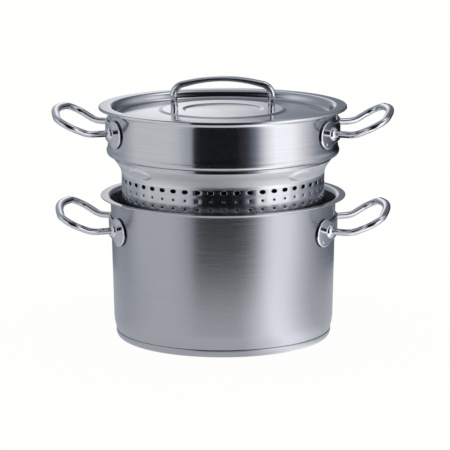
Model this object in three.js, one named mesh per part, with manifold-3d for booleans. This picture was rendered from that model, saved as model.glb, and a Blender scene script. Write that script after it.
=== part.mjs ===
// Steel pot with a lift-out strainer insert and a lid, in millimetres, +Z up.
// The origin is the centre of the base's underside. The side handles point along X.

import * as THREE from "three";
import { mergeVertices } from "three/addons/utils/BufferGeometryUtils.js";
import Module from "manifold-3d";

const wasm = await Module();
wasm.setup();

// Clearance between pieces that rest on, plug into or are welded to each other
const FIT = 0.3;

// Pot shell: one drawn sheet with a slight draft and a flared pouring rim
const POT_BORE = 240;
const POT_HEIGHT = 154.5;
const POT_GAUGE = 1;
const POT_DRAFT = THREE.MathUtils.degToRad(1.29);
const POT_FLARE_RADIUS = 9.5;
const POT_LIP_WIDTH = 1.1;
const HEEL_RADIUS = 4;
const HEEL_SWEEP = 14;
const HEEL_INSET = 2.3;

// Sandwich base: an aluminium core closed in by a pressed steel cap
const BASE_EDGE_RADIUS = 6.5;
const CAP_GAUGE = 0.8;
const CORE_THICKNESS = 5.6;

// Strainer basket: perforated wall, raised floor on a foot ring, and a neck up to the collar
const BASKET_GAP = 11.1;
const BASKET_GAUGE = 0.8;
const BASKET_HEEL_RADIUS = 10;
const FOOT_WIDTH = 15;
const FLOOR_RISE = 4;
const NECK_CLEAR = 22;
const NECK_RADIUS = 20;
const NECK_ANGLE = THREE.MathUtils.degToRad(34.8);
const NECK_RISE = 21.9;

// Perforation: wide ovals under the neck, rows of small round holes below, rings of them in the floor
const HOLE_COLUMNS = 50;
const HOLE_TURN = THREE.MathUtils.degToRad(2.4);
const OVAL_WIDTH = 5.8;
const OVAL_HEIGHT = 4;
const OVAL_DROP = 2.9;
const SMALL_HOLE = 2.3;
const ROW_PITCH = 9.1;
const SMALL_ROWS = 2;
const FLOOR_HOLE = 4;
const FLOOR_RING_PITCH = 26;
const FLOOR_RINGS = 2;
const HOLES_PER_FLOOR_RING = 8;
const PUNCH_LENGTH = 5;

// Four oval pads pressed out of the neck, which centre the insert in the pot's mouth
const PAD_ANGLE = THREE.MathUtils.degToRad(49.5);
const PAD_LENGTH = 38;
const PAD_WIDTH = 11;
const PAD_DEPTH = 1.9;
const PAD_RISE = 10.4;

// Collar: the insert's plain upper wall, from the turned-in seam to the flared rim
const COLLAR_GAUGE = 1;
const COLLAR_HEIGHT = 49.9;
const COLLAR_FLARE_RADIUS = 6.6;
const COLLAR_LIP_WIDTH = 0.8;
const SEAM_LIP_WIDTH = 2.05;
const SEAM_RADIUS = 3;
const SEAM_PROUD = 1.6;
const SEAM_BAND = 10.6;

// Lid: a pressed dish with a flat flange, a sunken deck and a raised platform for the handle
const LID_OVERHANG = 2.2;
const LID_GAUGE = 1;
const LID_EDGE_DROP = 1.6;
const LID_FLANGE_WIDTH = 9.3;
const LID_WALL_RUN = 10;
const LID_DECK_DEPTH = 9.4;
const DECK_DEPTH_AT_PLATFORM = 6.2;
const PLATFORM_DIAMETER = 129;
const PLATFORM_DEPTH = 4.2;
const HOLLOW_DIAMETER = 81;
const HOLLOW_DEPTH = 6.5;
const STEP_RUN = 2;

// Lid handle: an arched bar on two legs, wide and thin at the crown and nearly round at the legs
const LID_HANDLE_SPAN = 103.4;
const LID_HANDLE_RISE = 32.8;
const LID_HANDLE_ARCH = 6.5;
const LID_HANDLE_SPLAY = 1.8;
const LID_HANDLE_SHOULDER_RADIUS = 13;
const LID_HANDLE_CROWN_RADIUS = 150;
const CROWN_WIDTH = 11.5;
const CROWN_THICKNESS = 5.1;
const LEG_WIDTH = 9.6;
const LEG_THICKNESS = 7.8;

// Side handles: oval bars that leave the wall square to it, bend up and outwards and close in a round loop
const HANDLE_BAR_WIDTH = 8.9;
const HANDLE_BAR_THICKNESS = 7.1;
const HANDLE_ROD_OFFSET = 42.2;
const HANDLE_ELBOW = 17.3;
const HANDLE_SHOULDER = 46.4;
const HANDLE_REACH = 58;
const HANDLE_SPREAD = THREE.MathUtils.degToRad(32.2);
const HANDLE_TILT = THREE.MathUtils.degToRad(27.1);
const HANDLE_ELBOW_RADIUS = 15;
const HANDLE_SHOULDER_RADIUS = 16;
const HANDLE_END_RADIUS = 175;
const POT_HANDLE_DROP = 33.1;
const COLLAR_HANDLE_DROP = 23.8;

// Handle brackets: dog-bone plates that hug the wall, with a socket boss at each rod
const PLATE_THICKNESS = 2.2;
const LOBE_OFFSET = 52.9;
const LOBE_RADIUS = 15;
const WAIST_HEIGHT = 21;
const WAIST_FILLET = 40;
const BOSS_LENGTH = 4;
const BOSS_TIP_RADIUS = 6;
const BOSS_ROOT_RADIUS = 8;
const SOCKET_DEPTH = 1.2;

// Facets: the basket has one facet for each column of holes
const FACETS = 32;
const ARC_STEPS = 2;
const PLATE_ARC_STEPS = 4;
const BAR_SIDES = 8;
const BEND_STEPS = 3;
const OVAL_SIDES = 6;
const HOLE_SIDES = 4;
const PAD_SIDES = 8;
const PAD_RINGS = 4;

// Points closer than this are one point
const SAME_POINT = 1e-4;

// Levels and radii that follow from the driving dimensions
const shellFloor = CAP_GAUGE + FIT + CORE_THICKNESS + FIT;
const heelTop = shellFloor + HEEL_RADIUS;
const potWallTop = POT_BORE / 2 + POT_GAUGE;
const potFlareStart = POT_HEIGHT - POT_GAUGE - POT_FLARE_RADIUS;
const potWallRadius = (z) => potWallTop - (potFlareStart - z) * Math.tan(POT_DRAFT);
const baseRadius = potWallRadius(heelTop + HEEL_SWEEP) - HEEL_INSET;
const basketRadius = POT_BORE / 2 - BASKET_GAP;
const footLevel = shellFloor + POT_GAUGE + FIT;
const neckStart = POT_HEIGHT + NECK_CLEAR;
const neckTop = neckStart + NECK_RISE;
const neckCurveRun = NECK_RADIUS * (1 - Math.cos(NECK_ANGLE));
const neckCurveRise = NECK_RADIUS * Math.sin(NECK_ANGLE);
const neckCurveBend = NECK_RADIUS * Math.tan(NECK_ANGLE / 2);
const neckSlopeRun = (NECK_RISE - neckCurveRise) * Math.tan(NECK_ANGLE);
const neckTopRadius = basketRadius + neckCurveRun + neckSlopeRun;
const seamLevel = neckTop + FIT + COLLAR_GAUGE;
const seatLevel = seamLevel + COLLAR_GAUGE + FIT;
const seamRadius = neckTopRadius + SEAM_LIP_WIDTH + SEAM_RADIUS;
const collarRadius = seamRadius - SEAM_PROUD;
const collarRim = seamLevel + COLLAR_HEIGHT;
const collarLipRadius = collarRadius + COLLAR_FLARE_RADIUS + COLLAR_LIP_WIDTH;
const flangeLevel = collarRim + FIT;
const platformLevel = flangeLevel - PLATFORM_DEPTH + LID_GAUGE;

const satinSteel = new THREE.MeshStandardMaterial({ color: 0xb9babb, metalness: 1, roughness: 0.38 });
const polishedSteel = new THREE.MeshStandardMaterial({ color: 0xd6d6d6, metalness: 1, roughness: 0.14 });
const aluminium = new THREE.MeshStandardMaterial({ color: 0xc4c6c9, metalness: 1, roughness: 0.5 });

// Boolean solids
function solid(geometry) {
  const bare = geometry.index ? geometry.toNonIndexed() : geometry.clone();
  bare.deleteAttribute("normal");
  bare.deleteAttribute("uv");
  const merged = mergeVertices(bare, SAME_POINT);
  return new wasm.Manifold(
    new wasm.Mesh({
      numProp: 3,
      vertProperties: merged.attributes.position.array,
      triVerts: new Uint32Array(merged.index.array),
    }),
  );
}

function geometryOf(manifold) {
  const { vertProperties, triVerts } = manifold.getMesh();
  const geometry = new THREE.BufferGeometry();
  geometry.setAttribute("position", new THREE.BufferAttribute(vertProperties, 3));
  geometry.setIndex(new THREE.BufferAttribute(triVerts, 1));
  geometry.computeVertexNormals();
  return geometry;
}

function mesh(name, geometry, material) {
  const piece = new THREE.Mesh(geometry, material);
  piece.name = name;
  return piece;
}

// Turned pieces: a section in (radius, height) swept once round Z
function turned(section, facets = FACETS, turn = 0) {
  const onAxis = section[0].x === 0 && section.at(-1).x === 0;
  const profile = onAxis ? section : [...section, section[0]];
  const lathe = new THREE.LatheGeometry(profile, facets, turn - Math.PI / facets);
  return lathe.rotateX(Math.PI / 2);
}

// The outer face of a sheet and its inner face, one gauge to the left of the way along it
function sheetFaces(path, gauge) {
  const points = path.getPoints(ARC_STEPS);
  const outer = points.filter((point, i) => i === 0 || point.distanceTo(points[i - 1]) > SAME_POINT);
  const leftOf = (a, b) => new THREE.Vector2(a.y - b.y, b.x - a.x).normalize();
  const inner = outer.map((point, i) => {
    const before = leftOf(outer[Math.max(i - 1, 0)], outer[Math.max(i, 1)]);
    const after = leftOf(outer[Math.min(i, outer.length - 2)], outer[Math.min(i + 1, outer.length - 1)]);
    const mitre = before.clone().add(after).normalize();
    return point.clone().addScaledVector(mitre, gauge / mitre.dot(after));
  });
  return { outer, inner };
}

function sheetSection(path, gauge) {
  const { outer, inner } = sheetFaces(path, gauge);
  return [...outer, ...inner.reverse()];
}

// Corners joined by straights, each inner corner rounded by an arc of its own radius
function bentLine(corners, radii) {
  const stations = [corners[0]];
  radii.forEach((radius, i) => {
    const corner = corners[i + 1];
    const back = corners[i].clone().sub(corner).normalize();
    const ahead = corners[i + 2].clone().sub(corner).normalize();
    const half = back.angleTo(ahead) / 2;
    const middle = back.clone().add(ahead).normalize();
    const centre = corner.clone().addScaledVector(middle, radius / Math.sin(half));
    const start = corner.clone().addScaledVector(back, radius / Math.tan(half)).sub(centre);
    const axis = start.clone().cross(middle.clone().negate()).normalize();
    for (let k = 0; k <= BEND_STEPS; k++) {
      const turn = ((Math.PI - 2 * half) * k) / BEND_STEPS;
      stations.push(start.clone().applyAxisAngle(axis, turn).add(centre));
    }
  });
  stations.push(corners.at(-1));
  return stations;
}

// An oval bar along stations. sectionAt gives its sizes at a station and the way its thickness points.
function ovalBar(stations, sectionAt) {
  const last = stations.length - 1;
  const step = (i) => stations[i + 1].clone().sub(stations[i]).normalize();
  const points = stations.flatMap((station, i) => {
    const along = step(Math.max(i - 1, 0)).add(step(Math.min(i, last - 1))).normalize();
    const { thickness, width, upright } = sectionAt(station);
    const high = upright.clone().addScaledVector(along, -upright.dot(along)).normalize();
    const wide = along.clone().cross(high);
    return Array.from({ length: BAR_SIDES }, (_, k) => {
      const turn = (2 * Math.PI * k) / BAR_SIDES;
      const point = station.clone().addScaledVector(high, (thickness / 2) * Math.cos(turn));
      return point.addScaledVector(wide, (width / 2) * Math.sin(turn));
    });
  });
  const at = (i, k) => i * BAR_SIDES + (k % BAR_SIDES);
  const index = [];
  for (let k = 0; k < BAR_SIDES; k++) {
    for (let i = 0; i < last; i++) {
      index.push(at(i, k), at(i, k + 1), at(i + 1, k + 1), at(i, k), at(i + 1, k + 1), at(i + 1, k));
    }
  }
  for (let k = 1; k < BAR_SIDES - 1; k++) {
    index.push(at(0, 0), at(0, k + 1), at(0, k), at(last, 0), at(last, k), at(last, k + 1));
  }
  const geometry = new THREE.BufferGeometry().setFromPoints(points).setIndex(index);
  geometry.computeVertexNormals();
  return geometry;
}

// Pot
function potPath() {
  const sweepTop = heelTop + HEEL_SWEEP;
  const sweepMiddle = heelTop + HEEL_SWEEP / 2;
  const flareCentre = potWallTop + POT_FLARE_RADIUS;
  const path = new THREE.Path().moveTo(0, shellFloor).lineTo(baseRadius - HEEL_RADIUS, shellFloor);
  path.quadraticCurveTo(baseRadius, shellFloor, baseRadius, heelTop);
  path.quadraticCurveTo(potWallRadius(sweepMiddle), sweepMiddle, potWallRadius(sweepTop), sweepTop);
  path.lineTo(potWallTop, potFlareStart);
  path.absarc(flareCentre, potFlareStart, POT_FLARE_RADIUS, Math.PI, Math.PI / 2, true);
  path.lineTo(flareCentre + POT_LIP_WIDTH, POT_HEIGHT - POT_GAUGE);
  return path;
}

// The cap's rim stops where the curve of the pot's heel comes within the clearance
function baseCap() {
  const alongHeel = 1 - Math.sqrt((CAP_GAUGE + FIT) / HEEL_RADIUS);
  const rimLevel = shellFloor + HEEL_RADIUS * alongHeel ** 2;
  const path = new THREE.Path().moveTo(0, 0).lineTo(baseRadius - BASE_EDGE_RADIUS, 0);
  path.quadraticCurveTo(baseRadius, 0, baseRadius, BASE_EDGE_RADIUS);
  path.lineTo(baseRadius, rimLevel);
  return turned(sheetSection(path, CAP_GAUGE));
}

// The core fills the cap up to the clearance under the pot's floor
function baseCore() {
  const inset = CAP_GAUGE + FIT;
  const coreRadius = baseRadius - inset;
  const top = inset + CORE_THICKNESS;
  const path = new THREE.Path().moveTo(0, inset).lineTo(baseRadius - BASE_EDGE_RADIUS, inset);
  path.quadraticCurveTo(coreRadius, inset, coreRadius, BASE_EDGE_RADIUS);
  path.lineTo(coreRadius, top).lineTo(0, top);
  return turned(path.getPoints(ARC_STEPS));
}

// Strainer basket
function basketPath() {
  const heel = basketRadius - BASKET_HEEL_RADIUS;
  const footInner = heel - FOOT_WIDTH;
  const neckCurveTop = neckStart + neckCurveRise;
  const flangeRadius = (seamRadius - SEAM_RADIUS) * Math.cos(Math.PI / FACETS);
  const path = new THREE.Path().moveTo(0, footLevel + FLOOR_RISE);
  path.lineTo(footInner - FLOOR_RISE, footLevel + FLOOR_RISE);
  path.lineTo(footInner, footLevel);
  path.lineTo(heel, footLevel);
  path.quadraticCurveTo(basketRadius, footLevel, basketRadius, footLevel + BASKET_HEEL_RADIUS);
  path.lineTo(basketRadius, neckStart);
  path.quadraticCurveTo(basketRadius, neckStart + neckCurveBend, basketRadius + neckCurveRun, neckCurveTop);
  path.lineTo(neckTopRadius, neckTop).lineTo(neckTopRadius, seatLevel);
  path.lineTo(flangeRadius, seatLevel);
  return path;
}

// A punch through the wall at the front, turned to its column
function wallPunch(column, level, width, height, sides) {
  const punch = new THREE.CylinderGeometry(0.5, 0.5, PUNCH_LENGTH, sides);
  punch.rotateY(Math.PI / 2).scale(width, 1, height);
  punch.translate(0, -basketRadius, level);
  return solid(punch.rotateZ(HOLE_TURN + (column * 2 * Math.PI) / HOLE_COLUMNS));
}

function floorPunch(ring, hole) {
  const punch = new THREE.CylinderGeometry(FLOOR_HOLE / 2, FLOOR_HOLE / 2, PUNCH_LENGTH, HOLE_SIDES);
  punch.rotateX(Math.PI / 2).translate(0, -ring * FLOOR_RING_PITCH, footLevel + FLOOR_RISE);
  return solid(punch.rotateZ((hole * 2 * Math.PI) / (ring * HOLES_PER_FLOOR_RING)));
}

function punches() {
  const ovalLevel = neckStart - OVAL_DROP;
  const all = [];
  for (let column = 0; column < HOLE_COLUMNS; column++) {
    all.push(wallPunch(column, ovalLevel, OVAL_WIDTH, OVAL_HEIGHT, OVAL_SIDES));
    for (let row = 1; row <= SMALL_ROWS; row++) {
      all.push(wallPunch(column, ovalLevel - row * ROW_PITCH, SMALL_HOLE, SMALL_HOLE, HOLE_SIDES));
    }
  }
  for (let ring = 1; ring <= FLOOR_RINGS; ring++) {
    for (let hole = 0; hole < ring * HOLES_PER_FLOOR_RING; hole++) {
      all.push(floorPunch(ring, hole));
    }
  }
  return wasm.Manifold.union(all);
}

// Stretched balls on the neck, smaller by shrink all round, at the four pads
function padBalls(shrink) {
  const lean = NECK_ANGLE / 2;
  const padRadius = basketRadius + NECK_RADIUS - Math.sqrt(NECK_RADIUS ** 2 - PAD_RISE ** 2);
  const balls = [PAD_ANGLE, -PAD_ANGLE, Math.PI - PAD_ANGLE, Math.PI + PAD_ANGLE].map((angle) => {
    const ball = new THREE.SphereGeometry(1, PAD_SIDES, PAD_RINGS);
    ball.scale(PAD_LENGTH / 2 - shrink, PAD_DEPTH - shrink, PAD_WIDTH / 2 - shrink);
    ball.rotateX(lean).translate(0, -padRadius, neckStart + PAD_RISE);
    return solid(ball.rotateZ(angle));
  });
  return wasm.Manifold.union(balls);
}

function strainerBasket() {
  const { outer, inner } = sheetFaces(basketPath(), BASKET_GAUGE);
  const sheet = solid(turned([...outer, ...[...inner].reverse()], HOLE_COLUMNS, HOLE_TURN));
  const inside = [...inner, new THREE.Vector2(0, inner.at(-1).y)];
  const pads = padBalls(0).subtract(solid(turned(inside, HOLE_COLUMNS, HOLE_TURN)));
  return geometryOf(sheet.add(pads).subtract(padBalls(BASKET_GAUGE)).subtract(punches()));
}

// The collar's turned-in lip carries the basket's seat flange
function collarPath() {
  const lipRadius = neckTopRadius / Math.cos(Math.PI / FACETS) + FIT;
  const flareTop = collarRim - COLLAR_GAUGE;
  const path = new THREE.Path().moveTo(lipRadius, seamLevel);
  path.lineTo(seamRadius - SEAM_RADIUS, seamLevel);
  path.quadraticCurveTo(seamRadius, seamLevel, seamRadius, seamLevel + SEAM_RADIUS);
  path.lineTo(collarRadius, seamLevel + SEAM_RADIUS + SEAM_BAND);
  path.lineTo(collarRadius, flareTop - COLLAR_FLARE_RADIUS);
  path.quadraticCurveTo(collarRadius, flareTop, collarRadius + COLLAR_FLARE_RADIUS, flareTop);
  path.lineTo(collarLipRadius, flareTop);
  return path;
}

// Lid, drawn along its underside from the middle outwards
function lidDish() {
  const edge = collarLipRadius + LID_OVERHANG - LID_GAUGE;
  const wallTop = edge - LID_FLANGE_WIDTH;
  const wallFoot = wallTop - LID_WALL_RUN;
  const wallMiddle = (wallTop + wallFoot) / 2;
  const deck = flangeLevel - LID_DECK_DEPTH;
  const path = new THREE.Path().moveTo(0, flangeLevel - HOLLOW_DEPTH);
  path.lineTo(HOLLOW_DIAMETER / 2, flangeLevel - HOLLOW_DEPTH);
  path.lineTo(HOLLOW_DIAMETER / 2 + STEP_RUN, flangeLevel - PLATFORM_DEPTH);
  path.lineTo(PLATFORM_DIAMETER / 2, flangeLevel - PLATFORM_DEPTH);
  path.lineTo(PLATFORM_DIAMETER / 2 + STEP_RUN, flangeLevel - DECK_DEPTH_AT_PLATFORM);
  path.lineTo(wallFoot, deck);
  path.quadraticCurveTo((wallFoot + wallMiddle) / 2, deck, wallMiddle, deck + LID_DECK_DEPTH / 2);
  path.quadraticCurveTo((wallTop + wallMiddle) / 2, flangeLevel, wallTop, flangeLevel);
  path.lineTo(edge, flangeLevel).lineTo(edge, flangeLevel - LID_EDGE_DROP);
  return turned(sheetSection(path, LID_GAUGE));
}

// The bar's thickness lies in the arch, and its sizes run from the crown's to the legs'
function lidHandle() {
  const foot = LID_HANDLE_SPAN / 2;
  const shoulder = foot + LID_HANDLE_SPLAY;
  const base = platformLevel + FIT;
  const crown = platformLevel + LID_HANDLE_RISE - CROWN_THICKNESS / 2;
  const corners = [
    new THREE.Vector3(-foot, 0, base),
    new THREE.Vector3(-shoulder, 0, crown - LID_HANDLE_ARCH),
    new THREE.Vector3(0, 0, crown + LID_HANDLE_ARCH),
    new THREE.Vector3(shoulder, 0, crown - LID_HANDLE_ARCH),
    new THREE.Vector3(foot, 0, base),
  ];
  const radii = [LID_HANDLE_SHOULDER_RADIUS, LID_HANDLE_CROWN_RADIUS, LID_HANDLE_SHOULDER_RADIUS];
  return ovalBar(bentLine(corners, radii), (station) => {
    const share = Math.min(1, (station.x / foot) ** 2);
    return {
      thickness: THREE.MathUtils.lerp(CROWN_THICKNESS, LEG_THICKNESS, share),
      width: THREE.MathUtils.lerp(CROWN_WIDTH, LEG_WIDTH, share),
      upright: new THREE.Vector3(station.x, 0, station.z - platformLevel),
    };
  });
}

// Side handles, drawn for the right side of a wall of the given radius
function rodFrame(wallRadius) {
  const angle = Math.asin(HANDLE_ROD_OFFSET / wallRadius);
  return { angle, wallX: wallRadius * Math.cos(angle) };
}

function sideHandle(wallRadius, level) {
  const { angle, wallX } = rodFrame(wallRadius);
  const socketFloor = BOSS_LENGTH - SOCKET_DEPTH;
  const startX = wallX + (socketFloor + FIT) * Math.cos(angle);
  const elbowX = wallRadius + HANDLE_ELBOW;
  const shoulderX = wallRadius + HANDLE_SHOULDER;
  const endX = wallRadius + HANDLE_REACH;
  const alongRod = (x) => HANDLE_ROD_OFFSET + (x - wallX) * Math.tan(angle);
  const shoulderY = alongRod(elbowX) + (shoulderX - elbowX) * Math.tan(HANDLE_SPREAD);
  const rise = (x) => level + Math.max(0, x - elbowX) * Math.tan(HANDLE_TILT);
  const half = [
    new THREE.Vector3(startX, alongRod(startX), level),
    new THREE.Vector3(elbowX, alongRod(elbowX), level),
    new THREE.Vector3(shoulderX, shoulderY, rise(shoulderX)),
  ];
  const end = new THREE.Vector3(endX, 0, rise(endX));
  const front = half.map(({ x, y, z }) => new THREE.Vector3(x, -y, z));
  const corners = [...front, end, ...half.reverse()];
  const bends = [HANDLE_ELBOW_RADIUS, HANDLE_SHOULDER_RADIUS];
  const radii = [...bends, HANDLE_END_RADIUS, ...bends.reverse()];
  return ovalBar(bentLine(corners, radii), ({ z }) => {
    const lean = HANDLE_TILT * Math.min(1, (z - level) / (rise(shoulderX) - level));
    return {
      thickness: HANDLE_BAR_THICKNESS,
      width: HANDLE_BAR_WIDTH,
      upright: new THREE.Vector3(-Math.sin(lean), 0, Math.cos(lean)),
    };
  });
}

function dogBone() {
  const filletZ = WAIST_HEIGHT / 2 + WAIST_FILLET;
  const reach = Math.sqrt((LOBE_RADIUS + WAIST_FILLET) ** 2 - filletZ ** 2);
  const filletY = LOBE_OFFSET - reach;
  const lean = Math.atan2(filletZ, reach);
  const shape = new THREE.Shape();
  shape.absarc(LOBE_OFFSET, 0, LOBE_RADIUS, lean - Math.PI, Math.PI - lean, false);
  shape.absarc(filletY, filletZ, WAIST_FILLET, -lean, -Math.PI / 2, true);
  shape.absarc(-filletY, filletZ, WAIST_FILLET, -Math.PI / 2, lean - Math.PI, true);
  shape.absarc(-LOBE_OFFSET, 0, LOBE_RADIUS, lean, 2 * Math.PI - lean, false);
  shape.absarc(-filletY, -filletZ, WAIST_FILLET, Math.PI - lean, Math.PI / 2, true);
  shape.absarc(filletY, -filletZ, WAIST_FILLET, Math.PI / 2, lean, true);
  return shape;
}

// A socket boss or its socket, standing out from the wall at one rod
function atRod(geometry, wallRadius, level, side, standOff) {
  const { angle } = rodFrame(wallRadius);
  geometry.rotateZ(-Math.PI / 2).translate(wallRadius + standOff, 0, 0);
  return solid(geometry.rotateZ(side * angle).translate(0, 0, level));
}

// Everything within the clearance of a sheet's outer face, which a piece on that wall is cut by
function within(path) {
  const face = sheetFaces(path, -FIT).inner;
  const axis = (point) => new THREE.Vector2(0, point.y);
  return solid(turned([axis(face[0]), ...face, axis(face.at(-1))]));
}

function bracket(wall) {
  const low = wall.level - 2 * LOBE_RADIUS;
  const high = wall.level + 2 * LOBE_RADIUS;
  const outside = (z) => wall.radius + (z - wall.level) * Math.tan(wall.draft) + FIT + PLATE_THICKNESS;
  const corners = [[0, low], [outside(low), low], [outside(high), high], [0, high]];
  const blank = new THREE.ExtrudeGeometry(dogBone(), {
    depth: 2 * wall.radius,
    bevelEnabled: false,
    curveSegments: PLATE_ARC_STEPS,
  });
  blank.rotateX(Math.PI / 2).rotateZ(Math.PI / 2).translate(0, 0, wall.level);
  let plate = solid(turned(corners.map(([r, z]) => new THREE.Vector2(r, z)))).intersect(solid(blank));
  for (const side of [-1, 1]) {
    const boss = new THREE.CylinderGeometry(BOSS_TIP_RADIUS, BOSS_ROOT_RADIUS, BOSS_LENGTH, BAR_SIDES);
    const socket = new THREE.CylinderGeometry(0.5, 0.5, SOCKET_DEPTH, BAR_SIDES);
    socket.scale(HANDLE_BAR_WIDTH + 2 * FIT, 1, HANDLE_BAR_THICKNESS + 2 * FIT);
    plate = plate.add(atRod(boss, wall.radius, wall.level, side, BOSS_LENGTH / 2));
    plate = plate.subtract(atRod(socket, wall.radius, wall.level, side, BOSS_LENGTH - SOCKET_DEPTH / 2));
  }
  return geometryOf(plate.subtract(within(wall.path)));
}

// A handle and its bracket on each side, the left pair turned half round from the right
function sideHandles(prefix, wall) {
  const pair = new THREE.Group();
  for (const [side, turn] of [["right", 0], ["left", Math.PI]]) {
    const group = new THREE.Group();
    group.rotation.z = turn;
    group.add(mesh(`${prefix}_${side}_bracket`, bracket(wall), polishedSteel));
    group.add(mesh(`${prefix}_${side}_handle`, sideHandle(wall.radius, wall.level), polishedSteel));
    pair.add(group);
  }
  return pair;
}

const potHandleLevel = POT_HEIGHT - POT_HANDLE_DROP;
const potWall = {
  path: potPath(),
  radius: potWallRadius(potHandleLevel),
  draft: POT_DRAFT,
  level: potHandleLevel,
};
const collarWall = {
  path: collarPath(),
  radius: collarRadius,
  draft: 0,
  level: collarRim - COLLAR_HANDLE_DROP,
};

const pot = new THREE.Group();
pot.add(mesh("pot_body", turned(sheetSection(potWall.path, POT_GAUGE)), satinSteel));
pot.add(mesh("base_core", baseCore(), aluminium));
pot.add(mesh("base_cap", baseCap(), satinSteel));
pot.add(sideHandles("pot", potWall));

const insert = new THREE.Group();
insert.add(mesh("strainer_basket", strainerBasket(), polishedSteel));
insert.add(mesh("insert_collar", turned(sheetSection(collarWall.path, COLLAR_GAUGE)), satinSteel));
insert.add(sideHandles("insert", collarWall));

const lid = new THREE.Group();
lid.add(mesh("lid_dish", lidDish(), polishedSteel));
lid.add(mesh("lid_handle", lidHandle(), polishedSteel));

const part = new THREE.Group();
part.add(pot, insert, lid);

export default part;
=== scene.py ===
"""Looks of a steel pot with a strainer insert and a lid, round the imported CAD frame.

Sizes are in millimetres and follow the CAD model, so each piece lies where its node is. Rounded edges,
domed bosses, weld dots, softer bends and the lower rows of holes are finishing forms of this script.
"""
import math

import bmesh
import bpy
from mathutils import Matrix, Vector
from mathutils.geometry import delaunay_2d_cdt


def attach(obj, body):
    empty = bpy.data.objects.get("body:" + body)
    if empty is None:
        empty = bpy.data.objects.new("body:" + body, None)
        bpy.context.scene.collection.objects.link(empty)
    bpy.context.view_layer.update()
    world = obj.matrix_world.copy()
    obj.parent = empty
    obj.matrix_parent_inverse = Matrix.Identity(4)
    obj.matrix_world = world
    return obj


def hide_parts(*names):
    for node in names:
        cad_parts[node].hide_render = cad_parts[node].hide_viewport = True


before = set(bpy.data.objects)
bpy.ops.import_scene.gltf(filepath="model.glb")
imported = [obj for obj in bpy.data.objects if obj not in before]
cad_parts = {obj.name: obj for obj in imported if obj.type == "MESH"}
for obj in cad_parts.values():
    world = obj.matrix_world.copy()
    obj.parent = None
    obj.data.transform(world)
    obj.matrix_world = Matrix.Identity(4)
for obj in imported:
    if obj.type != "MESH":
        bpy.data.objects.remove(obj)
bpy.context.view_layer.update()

MM = 0.001
TURN = 2 * math.pi

# Fineness of the meshes
ROUND_SIDES = 256
SAME_POINT = 1e-4
LONG_STRAIGHT = 3.0
LOOP_MARGIN = 0.4
EDGE_STEPS = 6
EDGE_BULGE = 0.6

# Pot
FIT = 0.3
POT_HEIGHT = 154.5
POT_GAUGE = 1.0
POT_DRAFT = math.radians(1.29)
POT_WALL_TOP = 121.0
POT_FLARE = 9.5
FLARE_RUN = 5.0
FLARE_RISE = 4.0
FLARE_STEPS = 16
POT_LIP = 1.1
FLARE_START = POT_HEIGHT - POT_GAUGE - POT_FLARE
POLISHED_RINGS = 6
SHELL_FLOOR = 7.0
HEEL = 4.0
HEEL_SWEEP = 14.0
HEEL_TUCK = 2.3
BASE_EDGE = 6.5
CAP_GAUGE = 0.8
CAP_LAP = 0.25

# Strainer basket
BASKET_RADIUS = 108.9
BASKET_GAUGE = 0.8
BASKET_HEEL = 10.0
FOOT_LEVEL = 8.3
FOOT_WIDTH = 15.0
FLOOR_RISE = 4.0
NECK_START = 176.5
NECK_RADIUS = 20.0
NECK_ANGLE = math.radians(34.8)
NECK_BEND_STEPS = 20
NECK_SLOPE_STEPS = 10
NECK_TOP = 198.4
NECK_BEND = (NECK_RADIUS * (1 - math.cos(NECK_ANGLE)), NECK_RADIUS * math.sin(NECK_ANGLE))
NECK_SLOPE = (NECK_TOP - NECK_START - NECK_BEND[1]) * math.tan(NECK_ANGLE)
NECK_BEAD = 3.9
BEAD_LEVEL = NECK_TOP - NECK_BEAD
BEAD_RADIUS = BASKET_RADIUS + NECK_BEND[0] + NECK_SLOPE - NECK_BEAD * math.tan(NECK_ANGLE)
BEAD_STEP = 0.3
BEND_FOOT = 1.0
BEND_HEAD = 2.5
BEAD_MARGIN = 0.1
SEAT_LEVEL = 201.0
FLANGE_RADIUS = 121.2
COLUMNS = 50
HOLE_TURN = math.radians(2.4)
FIRST_CELL = HOLE_TURN - math.pi / COLUMNS
CELL_HALF = math.pi / COLUMNS * BASKET_RADIUS
CELL_STEPS = 4
NECK_STEPS = 8
OVAL = (3.2, 2.2)
OVAL_DROP = 2.9
SMALL = (1.15, 1.15)
ROW_PITCH = 9.1
SMALL_ROWS = 16
FLOOR_HOLE = 2.0
FLOOR_HOLE_SIDES = 16
FLOOR_HOLE_KEEP = 0.97
FLOOR_RING_PITCH = 13.0
FLOOR_RING_HOLES = 4
FLOOR_RINGS = 5
PAD_ANGLE = math.radians(49.5)
PAD_HALF = (19.0, 5.5)
PAD_DEPTH = 1.4
PAD_LEVEL = NECK_START + 10.4
PAD_RADIUS = 113.0
PAD_EDGE = 0.17

# Depth of a hole's drawn-in edge below the face, and how much wider than the hole it is there
HOLE_EDGE = ((0.0, 0.55), (0.06, 0.25), (0.25, 0.03))

# Way of a pad's press, out of the neck and down
PAD_OUT = 0.95
PAD_DOWN = 0.3

# Collar
COLLAR_GAUGE = 1.0
SEAM_LEVEL = 198.6
SEAM_RADIUS = 124.8
SEAM_BEND = (4.1, 5.5)
SEAM_BAND = 8.1
SEAM_EASE = 3.0
COLLAR_RADIUS = 123.2
COLLAR_RIM = 249.6
COLLAR_FLARE = 6.6
COLLAR_LIP = 0.8
RIM_MARGIN = 1.5

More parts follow.
